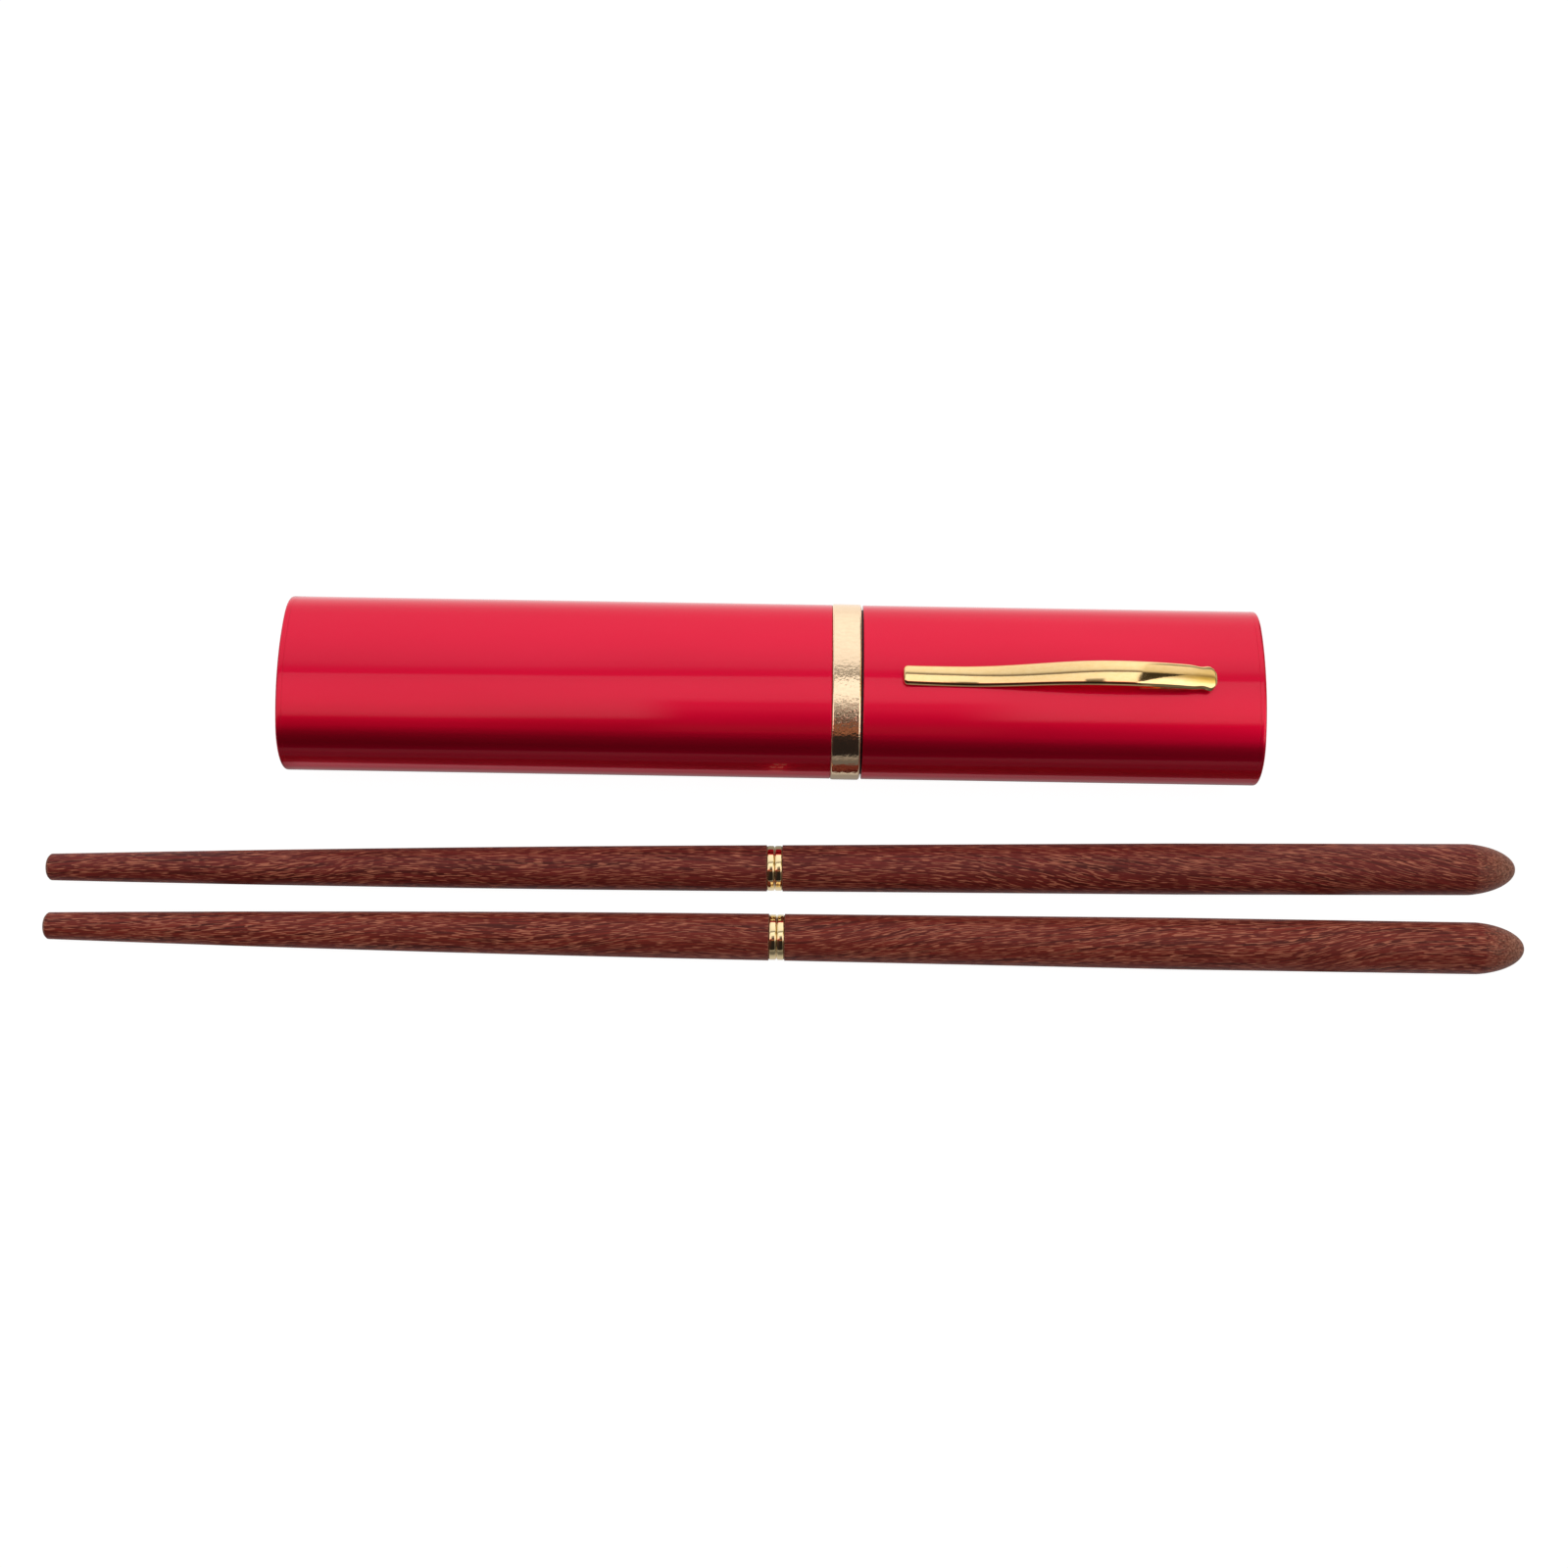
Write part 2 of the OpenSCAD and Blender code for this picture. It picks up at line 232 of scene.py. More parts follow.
# Light: angle from straight up towards the front, in degrees, and share of full brightness
LIGHT_LEVEL = 1.3
STRIP_RANGE = (-90, 90)
REAR_STRIPS = (
    (-90, (0.8, 0.8, 0.8)),
    (-72, (0.85, 0.85, 0.85)),
    (-55, (0.88, 0.88, 0.88)),
    (-37, (0.84, 0.84, 0.84)),
    (-28, (0.78, 0.78, 0.78)),
    (-23, (0.64, 0.64, 0.64)),
    (-20.5, (0.34, 0.33, 0.32)),
    (-18.5, (0.2, 0.19, 0.18)),
    (-15.6, (0.2, 0.19, 0.18)),
    (-14.6, (0.93, 0.93, 0.93)),
)
OPEN_STRIPS = REAR_STRIPS + (
    (-5, (0.92, 0.92, 0.92)),
    (5, (0.97, 0.9, 0.89)),
    (13, (1.15, 0.86, 0.85)),
    (15.5, (1.1, 0.72, 0.7)),
    (18, (0.42, 0.07, 0.06)),
    (22, (0.2, 0.035, 0.03)),
    (27, (0.05, 0.022, 0.02)),
    (76, (0.014, 0.012, 0.012)),
    (79, (0.27, 0.26, 0.25)),
    (87, (0.22, 0.21, 0.2)),
    (90, (0.12, 0.11, 0.1)),
)
CAMERA_STRIPS = REAR_STRIPS + (
    (-5, (0.92, 0.92, 0.92)),
    (1, (0.84, 0.84, 0.84)),
    (3.5, (0.55, 0.55, 0.55)),
    (5, (0.26, 0.25, 0.24)),
    (9, (0.24, 0.23, 0.22)),
    (13, (0.09, 0.08, 0.075)),
    (18, (0.045, 0.038, 0.034)),
    (21, (0.1, 0.06, 0.04)),
    (22.5, (0.26, 0.11, 0.065)),
    (25.5, (0.24, 0.1, 0.055)),
    (28, (0.03, 0.02, 0.016)),
    (32, (0.014, 0.012, 0.012)),
    (77, (0.014, 0.012, 0.012)),
    (80, (0.26, 0.25, 0.24)),
    (89, (0.12, 0.11, 0.1)),
)
STRIP_SLANT = math.radians(10.5)

# Sides of the studio: how far a direction points to the right, from -1 to 1, with strips as above
CAMERA_LEFT = (-0.085, -0.05)
CAMERA_RIGHT = (0.075, 0.13)
LEFT_LEVEL = 0.86
RIGHT_LEVEL = 1.14
LEVEL_SPAN = 0.3
LEFT_SIDE = (-0.9, -0.7)
SIDE_SHARE = 0.07
RIGHT_SIDE = (0.307, 0.319)
SIDE_LEAN = 0.014
SIDE_LEAN_SPAN = 20
RIGHT_STRIPS = (
    (-90, (0.2, 0.19, 0.18)),
    (-52, (0.3, 0.29, 0.27)),
    (-42, (0.8, 0.78, 0.74)),
    (-24, (0.66, 0.62, 0.53)),
    (-16, (0.42, 0.38, 0.28)),
    (-8, (0.5, 0.45, 0.34)),
    (0, (1.0, 1.0, 0.97)),
    (8, (1.25, 1.25, 1.25)),
    (30, (1.25, 1.25, 1.25)),
    (38, (0.12, 0.12, 0.12)),
    (84, (0.12, 0.12, 0.12)),
    (90, (0.05, 0.05, 0.05)),
)
WEDGE_SLANT = 125
WEDGE_TOP = (-19, -14)
WEDGE_FOOT = (12, 13.5)
WEDGE_SHADE = (0.035, 0.03, 0.02)
RIGHT_FAR = (0.5, 0.64)
FAR_STRIPS = (
    (-90, (0.05, 0.05, 0.05)),
    (-50, (0.1, 0.09, 0.07)),
    (-40, (0.62, 0.57, 0.4)),
    (-30, (0.66, 0.6, 0.42)),
    (-18, (0.26, 0.21, 0.1)),
    (-8, (0.55, 0.45, 0.17)),
    (2, (0.95, 0.85, 0.5)),
    (9, (1.25, 1.25, 1.1)),
    (32, (1.25, 1.25, 1.25)),
    (40, (0.2, 0.18, 0.14)),
    (90, (0.04, 0.04, 0.04)),
)
RIGHT_EDGE = (0.84, 0.95)

# Floor: places in metres and share of full brightness; reflections see painted light and shade on it, with a
# painted shadow under the case and painted dark just past its ends
FLOOR_SHARE = 0.85
FLOOR_SEEN = 1.14
FLOOR_SPAN = 0.06
# Painted light and shade across Y for reflections: dark far in front, a painted shadow under the case,
# brighter than white behind it
FLOOR_PAINTED_STRIPS = (
    (-0.06, 0.08),
    (-0.045, 0.08),
    (-0.031, 0.6),
    (-0.012, 0.85),
    (-0.007, 0.3),
    (0.025, 0.3),
    (0.035, 1.1),
    (0.06, 1.1),
)
# Painted dark band on the floor just past the case ends, for reflections
FLOOR_ENDS = (0.076, 0.084)
FLOOR_END_SHADE = 0.06
FLOOR_PAST = (0.085, 0.092)
FLOOR_PLAIN = 0.85
FLOOR_NEAR = (0.03, 0.042)
FLOOR_ALBEDO = 0.8
FLOOR_HALF = 3.0

# Camera, placed to match the picture, with lens and sensor in millimetres
CAM_LENS = 45.4
CAM_SENSOR = 36
CAM_TARGET = Vector((0.13, 1.18, 0)) * MM
CAM_TURN = math.radians(0.978)
CAM_RAISE = math.radians(76.24)
CAM_DISTANCE = 310.5 * MM
CAM_CLIP = 10 * MM


def add(tree, kind, settings=None, values=None):
    """Adds a node, with its settings and the values of its unlinked inputs."""
    made = tree.nodes.new(kind)
    for name, value in (settings or {}).items():
        setattr(made, name, value)
    for name, value in (values or {}).items():
        made.inputs[name].default_value = value
    return made


def join(tree, from_node, output, to_node, to_input):
    tree.links.new(from_node.outputs[output], to_node.inputs[to_input])


def feed(tree, socket, value):
    """Sets an input, or links it where the value is a (node, output) pair."""
    if isinstance(value, tuple) and isinstance(value[0], bpy.types.Node):
        tree.links.new(value[0].outputs[value[1]], socket)
    else:
        socket.default_value = value


def maths(tree, operation, first, second=0):
    """A maths node; each side is a number or a (node, output) pair."""
    made = add(tree, "ShaderNodeMath", {"operation": operation})
    for socket, side in zip(made.inputs, (first, second)):
        feed(tree, socket, side)
    return made


def remap(tree, source, low, high, to_low, to_high, smooth=False):
    """Maps one range of a (node, output) pair onto another, clamped."""
    kind = "SMOOTHSTEP" if smooth else "LINEAR"
    made = add(tree, "ShaderNodeMapRange", {"interpolation_type": kind, "clamp": True}, {
        "From Min": low, "From Max": high, "To Min": to_low, "To Max": to_high})
    feed(tree, made.inputs["Value"], source)
    return made


def balance(tree, share, first, second):
    """Mixes two numbers; each is a number or a (node, output) pair."""
    made = add(tree, "ShaderNodeMix", {"data_type": "FLOAT"})
    for name, value in (("Factor", share), ("A", first), ("B", second)):
        feed(tree, made.inputs[name], value)
    return made


def opaque(colour):
    """A colour with full alpha; a (node, output) pair stays as it is."""
    return colour if isinstance(colour[0], bpy.types.Node) else (*colour, 1)


def blend(tree, share, first, second):
    """Mixes two colours; each is a colour or a (node, output) pair."""
    made = add(tree, "ShaderNodeMix", {"data_type": "RGBA"})
    for name, value in (("Factor", share), ("A", opaque(first)), ("B", opaque(second))):
        feed(tree, made.inputs[name], value)
    return made


def mix_shaders(tree, share, first, second):
    """Mixes two shaders, each a (node, output) pair."""
    made = add(tree, "ShaderNodeMixShader")
    for socket, value in zip(made.inputs, (share, first, second)):
        feed(tree, socket, value)
    return made


def blank_material(name):
    """A material with an empty node tree and its output node."""
    made = bpy.data.materials.new(name)
    made.use_nodes = True
    made.node_tree.nodes.clear()
    return made, made.node_tree, add(made.node_tree, "ShaderNodeOutputMaterial")


def dress(tree, out, settings, links):
    """Adds the surface shader with its fixed settings and its linked inputs."""
    skin = add(tree, "ShaderNodeBsdfPrincipled", None, settings)
    for name, pair in links.items():
        feed(tree, skin.inputs[name], pair)
    join(tree, skin, "BSDF", out, "Surface")


def strip_ramp(tree, source, strips, low, high):
    """A colour ramp with a stop at each place between low and high."""
    share = remap(tree, source, low, high, 0, 1)
    ramp = add(tree, "ShaderNodeValToRGB")
    join(tree, share, "Result", ramp, "Fac")
    stops = ramp.color_ramp.elements
    while len(stops) < len(strips):
        stops.new(1)
    for stop, (place, colour) in zip(stops, strips):
        stop.position = (place - low) / (high - low)
        stop.color = (*colour, 1)
    return ramp


def noise(tree, source, pattern):
    """Noise in a pattern's scale and detail; source is a (node, output) pair of coordinates."""
    scale, detail = pattern
    mapping = add(tree, "ShaderNodeMapping", None, {"Scale": scale})
    feed(tree, mapping.inputs["Vector"], source)
    made = add(tree, "ShaderNodeTexNoise", None, {"Scale": 1.0, "Detail": detail, "Roughness": NOISE_ROUGH})
    join(tree, mapping, "Vector", made, "Vector")
    return made


def object_noise(tree, pattern):
    return noise(tree, (add(tree, "ShaderNodeTexCoord"), "Object"), pattern)


def bump(tree, height, strength, distance, under=None):
    made = add(tree, "ShaderNodeBump", None, {"Strength": strength, "Distance": distance})
    feed(tree, made.inputs["Height"], height)
    if under:
        join(tree, under, "Normal", made, "Normal")
    return made


def red_aluminium():
    """Red anodised metal: a fine and a broad satin sheen under a clear skin, drawn faintly along X."""
    made, tree, out = blank_material("red_aluminium")
    lines = object_noise(tree, RED_LINES)
    waves = object_noise(tree, RED_WAVES)
    clouds = object_noise(tree, RED_CLOUDS)
    satin = remap(tree, (lines, "Fac"), *NOISE_MIDDLE, *RED_SATIN)
    tone = remap(tree, (clouds, "Fac"), *NOISE_MIDDLE, 0, 1)
    colour = blend(tree, (tone, "Result"), *RED_TONES)
    wavy = bump(tree, (waves, "Fac"), *RED_WAVE_BUMP)
    drawn = bump(tree, (lines, "Fac"), *RED_LINE_BUMP, wavy)
    sheens = []
    for roughness in ((satin, "Result"), RED_BROAD):
        skin = add(tree, "ShaderNodeBsdfPrincipled", None, RED_SKIN)
        feed(tree, skin.inputs["Roughness"], roughness)
        join(tree, colour, "Result", skin, "Base Color")
        join(tree, drawn, "Normal", skin, "Normal")
        join(tree, wavy, "Normal", skin, "Coat Normal")
        sheens.append((skin, "BSDF"))
    both = mix_shaders(tree, RED_BROAD_SHARE, *sheens)
    join(tree, both, "Shader", out, "Surface")
    return made


def gold(name):
    """Polished gold plate with the fine unevenness of a plated stamping."""
    made, tree, out = blank_material(name)
    plating = GOLDS[name]
    peel_scale = (plating["peel"], plating["peel"], plating["peel"])
    peel = object_noise(tree, (peel_scale, GOLD_PEEL_DETAIL))
    haze = object_noise(tree, GOLD_HAZE)
    rough = remap(tree, (haze, "Fac"), *NOISE_MIDDLE, plating["haze"], plating["haze"] * GOLD_HAZE_SPREAD)
    tint = remap(tree, (haze, "Fac"), *GOLD_TINT_RANGE, 0, 1)
    colour = blend(tree, (tint, "Result"), plating["bright"], plating["deep"])
    uneven = bump(tree, (peel, "Fac"), plating["uneven"], GOLD_PEEL_DEPTH)
    dress(tree, out, {"Metallic": 1.0}, {
        "Base Color": (colour, "Result"), "Roughness": (rough, "Result"), "Normal": (uneven, "Normal")})
    return made


def black_plastic():
    """Matte black moulding of the neck."""
    made, tree, out = blank_material("black_plastic")
    grain = object_noise(tree, BLACK_GRAIN)
    rough = remap(tree, (grain, "Fac"), *NOISE_MIDDLE, *BLACK_ROUGH)
    fine = bump(tree, (grain, "Fac"), *BLACK_BUMP)
    dress(tree, out, {"Base Color": BLACK}, {"Roughness": (rough, "Result"), "Normal": (fine, "Normal")})
    return made


def plain_steel():
    """Plain steel of the rivet and its plate."""
    made, tree, out = blank_material("steel")
    marks = object_noise(tree, STEEL_MARKS)
    rough = remap(tree, (marks, "Fac"), *NOISE_MIDDLE, *STEEL_ROUGH)
    dress(tree, out, {"Metallic": 1.0, "Base Color": STEEL}, {"Roughness": (rough, "Result")})
    return made


def grain_space(tree, place, seed, slope):
    """Coordinates along one chopstick, wound and waving, and how far its grain is cut across."""
    coords = add(tree, "ShaderNodeTexCoord")
    local = add(tree, "ShaderNodeMapping", {"vector_type": "TEXTURE"}, {
        "Location": place.to_translation(), "Rotation": place.to_euler()})
    join(tree, coords, "Object", local, "Vector")
    moved = add(tree, "ShaderNodeMapping", None, {"Location": (seed, 0, 0)})
    join(tree, local, "Vector", moved, "Vector")
    split = add(tree, "ShaderNodeSeparateXYZ")
    join(tree, moved, "Vector", split, "Vector")
    drift = noise(tree, (moved, "Vector"), WOOD_DRIFT)
    swing = maths(tree, "MULTIPLY", (drift, "Fac"), WOOD_SWING)
    turn = maths(tree, "MULTIPLY", (split, "X"), math.tan(math.radians(slope)) / HANDLE_R)
    angle = maths(tree, "ADD", (turn, "Value"), (swing, "Value"))
    bent = add(tree, "ShaderNodeVectorRotate", {"rotation_type": "X_AXIS"})
    join(tree, moved, "Vector", bent, "Vector")
    join(tree, angle, "Value", bent, "Angle")
    along = Vector((1, 0, 0))
    along.rotate(place.to_euler())
    facing = add(tree, "ShaderNodeVectorMath", {"operation": "DOT_PRODUCT"})
    facing.inputs[1].default_value = along
    join(tree, coords, "Normal", facing, 0)
    across = maths(tree, "ABSOLUTE", (facing, "Value"))
    return (bent, "Vector"), (across, "Value")


def wood_colour(tree, grain, fibres, pores, light):
    """Red ground of fine fibres with dark bands and pale flecks."""
    bands = noise(tree, grain, WOOD_BANDS)
    tone = remap(tree, fibres, *NOISE_MIDDLE, 0, 1)
    ground = blend(tree, (tone, "Result"), WOOD_GROUND, light)
    dark = remap(tree, (bands, "Fac"), *WOOD_DARK_RANGE, WOOD_DARK_SHARE, 0)
    shaded = blend(tree, (dark, "Result"), (ground, "Result"), WOOD_DARK)
    fleck = remap(tree, pores, *WOOD_FLECK_RANGE, 0, 1)
    return blend(tree, (fleck, "Result"), (shaded, "Result"), WOOD_FLECK)


def sawn_colour(tree, grain):
    """Speckled brown of wood that is cut across its grain."""
    specks = noise(tree, grain, SAWN_SPECKS)
    pale = remap(tree, (specks, "Fac"), *SAWN_SPECK_RANGE, 0, 1)
    return blend(tree, (pale, "Result"), *SAWN_TONES)


def hardwood(name, place, seed, slope, light):
    """Dark red hardwood with short pale pores along a waving grain, browner where the grain is cut across."""
    made, tree, out = blank_material(name)
    grain, across = grain_space(tree, place, seed, slope)
    fibres = (noise(tree, grain, WOOD_FIBRES), "Fac")
    patches = noise(tree, grain, WOOD_PATCHES)
    lift = remap(tree, (patches, "Fac"), *WOOD_PATCH_RANGE, *WOOD_PATCH_LIFT)
    pores = (maths(tree, "ADD", (noise(tree, grain, WOOD_PORES), "Fac"), (lift, "Result")), "Value")
    colour = wood_colour(tree, grain, fibres, pores, light)
    sawn = remap(tree, across, *SAWN_FACING, 0, SAWN_SHARE)
    final = blend(tree, (sawn, "Result"), (colour, "Result"), (sawn_colour(tree, grain), "Result"))
    rough = remap(tree, fibres, *NOISE_MIDDLE, *WOOD_ROUGH)
    pitted = bump(tree, pores, *WOOD_BUMP)
    dress(tree, out, {"Specular IOR Level": WOOD_GLOSS}, {
        "Base Color": (final, "Result"), "Roughness": (rough, "Result"), "Normal": (pitted, "Normal")})
    return made


def new_object(name, mesh, material):
    """Links a finished mesh as an object with one material."""
    mesh.name = name
    mesh.materials.clear()
    mesh.materials.append(material)
    made = bpy.data.objects.new(name, mesh)
    scene.collection.objects.link(made)
    return made


def settled(piece):
    """Turns a piece with modifiers into a plain mesh piece of the same name."""
    piece_name = piece.name
    graph = bpy.context.evaluated_depsgraph_get()
    mesh = bpy.data.meshes.new_from_object(piece.evaluated_get(graph))
    bpy.data.objects.remove(piece)
    made = bpy.data.objects.new(piece_name, mesh)
    mesh.name = piece_name
    scene.collection.objects.link(made)
    return made


def outward(mesh):
    """Turns every face outward and smooths it."""
    work = bmesh.new()
    work.from_mesh(mesh)
    bmesh.ops.remove_doubles(work, verts=work.verts, dist=MERGE_GAP)
    bmesh.ops.recalc_face_normals(work, faces=work.faces)
    for face in work.faces:
        face.smooth = True
    work.to_mesh(mesh)
    work.free()


def clean_normals(piece):
    """Lets the large faces set the shading, so that flats stay flat beside their rounded edges."""
    outward(piece.data)
    weighted = piece.modifiers.new("flat_faces_lead", "WEIGHTED_NORMAL")
    weighted.mode = "FACE_AREA"
    weighted.weight = FLAT_WEIGHT
    return settled(piece)


def oval(inset):
    """Points (y, z) of the case section, made smaller all round by inset, anticlockwise."""
    meet = math.atan2(FLAT_Z, SIDE_Y)
    arcs = (
        (SIDE_Y, 0, SIDE_R - inset, -meet, meet, SIDE_STEPS),
        (0, -FLAT_Z, FLAT_R - inset, meet, math.pi - meet, FLAT_STEPS),
        (-SIDE_Y, 0, SIDE_R - inset, math.pi - meet, math.pi + meet, SIDE_STEPS),
        (0, FLAT_Z, FLAT_R - inset, math.pi + meet, 2 * math.pi - meet, FLAT_STEPS),
    )
    points = []
    for centre_y, centre_z, radius, start, end, steps in arcs:
        for step in range(steps):
            angle = start + (end - start) * step / steps
            points.append((centre_y + radius * math.cos(angle), centre_z + radius * math.sin(angle)))
    return points


def rounded(outline, radii, steps=EDGE_STEPS):
    """Rounds the corners of a line of (x, y) points; radii gives a radius for some of them."""
    points = []
    for index, corner in enumerate(outline):
        radius = radii.get(corner, 0)
        if not radius:
            points.append(corner)
            continue
        here = Vector(corner)
        back = Vector(outline[index - 1]) - here
        ahead = Vector(outline[(index + 1) % len(outline)]) - here
        half = back.angle(ahead) / 2
        reach = min(radius / math.tan(half), back.length / 2, ahead.length / 2)
        start = here + back.normalized() * reach
        end = here + ahead.normalized() * reach
        for step in range(steps + 1):
            u = step / steps
            spot = start * (1 - u) ** 2 + here * (2 * u * (1 - u)) + end * u ** 2
            points.append((spot.x, spot.y))
    return points


def skinned(name, rings, material):
    """Joins rings of points into one closed surface; a ring of one point is a pole, other ends are filled."""
    work = bmesh.new()
    rows = [[work.verts.new(point) for point in ring] for ring in rings]
    for first, second in zip(rows, rows[1:]):
        count = max(len(first), len(second))
        for index in range(count):
            follow = (index + 1) % count
            if len(first) == 1:
                work.faces.new((first[0], second[index], second[follow]))
            elif len(second) == 1:
                work.faces.new((first[index], first[follow], second[0]))
            else:
                work.faces.new((first[index], first[follow], second[follow], second[index]))
    for row in (rows[0], rows[-1]):
        if len(row) > 1:
            work.faces.new(row)
    mesh = bpy.data.meshes.new(name)
    work.to_mesh(mesh)
    work.free()
    return clean_normals(new_object(name, mesh, material))


def turned(name, outline, place, material):
    """Turns an outline of (station, radius) about the X axis of a place; radius 0 makes a pole."""
    rings = []
    for station, radius in outline:
        if radius == 0:
            rings.append([place @ Vector((station, 0, 0))])
            continue
        ring = []
        for step in range(ROUND_STEPS):
            angle = 2 * math.pi * step / ROUND_STEPS
            ring.append(place @ Vector((station, radius * math.cos(angle), radius * math.sin(angle))))
        rings.append(ring)
    return skinned(name, rings, material)


def new_group(name, inputs):
    """A Geometry Nodes tree with a geometry input, the named inputs and a geometry output."""
    group = bpy.data.node_groups.new(name, "GeometryNodeTree")
    face = group.interface
    face.new_socket(name="Geometry", in_out="INPUT", socket_type="NodeSocketGeometry")
    for label, kind in inputs:
        face.new_socket(name=label, in_out="INPUT", socket_type=kind)
    face.new_socket(name="Geometry", in_out="OUTPUT", socket_type="NodeSocketGeometry")
    return group, add(group, "NodeGroupInput"), add(group, "NodeGroupOutput")


def close_group(group, source, socket, entry, final):
    """Ends a tree with smooth shading, real geometry and the material."""
    smooth = add(group, "GeometryNodeSetShadeSmooth")
    real = add(group, "GeometryNodeRealizeInstances")
    paint = add(group, "GeometryNodeSetMaterial")
    join(group, source, socket, smooth, "Geometry")
    join(group, smooth, "Geometry", real, "Geometry")
    join(group, real, "Geometry", paint, "Geometry")
    join(group, entry, "Material", paint, "Material")
    join(group, paint, "Geometry", final, "Geometry")


def oval_wall_group():
    """Sweeps a wall with rounded edges round the section curve, from one station to another along X."""
    group, entry, final = new_group("oval_wall", (
        ("From", "NodeSocketFloat"), ("To", "NodeSocketFloat"), ("Wall", "NodeSocketFloat"),
        ("Edge From", "NodeSocketFloat"), ("Edge To", "NodeSocketFloat"), ("Material", "NodeSocketMaterial")))
    corners = add(group, "GeometryNodeCurvePrimitiveQuadrilateral", {"mode": "POINTS"})
    inner = maths(group, "MULTIPLY", (entry, "Wall"), -1)
    low = maths(group, "MULTIPLY", (entry, "From"), -1)
    high = maths(group, "MULTIPLY", (entry, "To"), -1)
    places = ((None, low), (inner, low), (inner, high), (None, high))
    for index, (across, along) in enumerate(places):
        spot = add(group, "ShaderNodeCombineXYZ")
        if across:
            join(group, across, "Value", spot, "X")
        join(group, along, "Value", spot, "Y")
        join(group, spot, "Vector", corners, f"Point {index + 1}")
    edges = add(group, "GeometryNodeFilletCurve", {"mode": "POLY"}, {"Count": EDGE_STEPS})
    corner = add(group, "GeometryNodeInputIndex")
    at_end = maths(group, "GREATER_THAN", (corner, "Index"), len(places) // 2 - 1)
    radius = balance(group, (at_end, "Value"), (entry, "Edge From"), (entry, "Edge To"))
    upright = add(group, "GeometryNodeSetCurveNormal", {"mode": "Z_UP"})
    sweep = add(group, "GeometryNodeCurveToMesh")
    stand = add(group, "GeometryNodeTransform", None, {"Rotation": (math.pi / 2, 0, math.pi / 2)})
    join(group, corners, "Curve", edges, "Curve")
    join(group, radius, "Result", edges, "Radius")
    join(group, entry, "Geometry", upright, "Curve")
    join(group, upright, "Curve", sweep, "Curve")
    join(group, edges, "Curve", sweep, "Profile Curve")
    join(group, sweep, "Mesh", stand, "Geometry")
    close_group(group, stand, "Geometry", entry, final)
    return group


def thread_group():
    """Winds a ridge round the Z axis and lays it along X."""
    group, entry, final = new_group("screw_thread", (
        ("Turns", "NodeSocketFloat"), ("Length", "NodeSocketFloat"), ("Radius", "NodeSocketFloat"),
        ("Ridge", "NodeSocketFloat"), ("Material", "NodeSocketMaterial")))
    helix = add(group, "GeometryNodeCurveSpiral", None, {"Resolution": THREAD_TURN_STEPS})
    ridge = add(group, "GeometryNodeCurvePrimitiveCircle", {"mode": "RADIUS"}, {"Resolution": RIDGE_STEPS})
    sweep = add(group, "GeometryNodeCurveToMesh", None, {"Fill Caps": True})
    lay = add(group, "GeometryNodeTransform", None, {"Rotation": (0, math.pi / 2, 0)})
    join(group, entry, "Turns", helix, "Rotations")
    join(group, entry, "Length", helix, "Height")
    join(group, entry, "Radius", helix, "Start Radius")
    join(group, entry, "Radius", helix, "End Radius")
    join(group, entry, "Ridge", ridge, "Radius")
    join(group, helix, "Curve", sweep, "Curve")
    join(group, ridge, "Curve", sweep, "Profile Curve")
    join(group, sweep, "Mesh", lay, "Geometry")
    close_group(group, lay, "Geometry", entry, final)
    return group


def grown(name, data, group, values):
    """Runs a Geometry Nodes tree on an object and keeps the mesh it makes."""
    made = bpy.data.objects.new(name, data)
    scene.collection.objects.link(made)
    modifier = made.modifiers.new(group.name, "NODES")
    modifier.node_group = group
    for item in group.interface.items_tree:
        if item.item_type == "SOCKET" and item.in_out == "INPUT" and item.name in values:
            modifier[item.identifier] = values[item.name]
    return settled(made)


def section_curve(inset):
    """The case section as a closed curve in the XY plane."""
    points = oval(inset)
    curve = bpy.data.curves.new("section", "CURVE")
    curve.dimensions = "3D"
    spline = curve.splines.new("POLY")
    spline.points.add(len(points) - 1)
    for spot, (across, up) in zip(spline.points, points):
        spot.co = (across, up, 0, 1)
    spline.use_cyclic_u = True
    return curve


def oval_wall(name, group, start, end, inset, wall, edges, material):
    """A length of oval tube in its place on the case, with a rounding for each end."""
    made = grown(name, section_curve(inset), group, {
        "From": start, "To": end, "Wall": wall, "Edge From": edges[0], "Edge To": edges[1],
        "Material": material})
    made.data.transform(Matrix.Translation((0, CASE_Y, CASE_Z)))
    return clean_normals(made)


def keep(piece, body, slot, *nodes):
    """Sets what a finished piece rides on and hides the CAD nodes it stands for; slot, its finish, is not
    used.
    """
    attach(piece, body)
    if nodes:
        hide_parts(*nodes)


def end_plug(name, joint_x, inner_x, outer_x, material):
    """Oval plug: a part inside the tube and a rim outside with a rounded edge."""
    outline = [(inner_x, TUBE_WALL), (joint_x, TUBE_WALL), (joint_x, 0), (outer_x, 0),
               (outer_x, PLUG_FACE_INSET)]
    soft = rounded(outline, {(joint_x, 0): JOINT_EDGE, (outer_x, 0): PLUG_EDGE})
    rings = []
    for station, inset in soft:
        rings.append([(station, CASE_Y + across, CASE_Z + up) for across, up in oval(inset)])
    return skinned(name, rings, material)


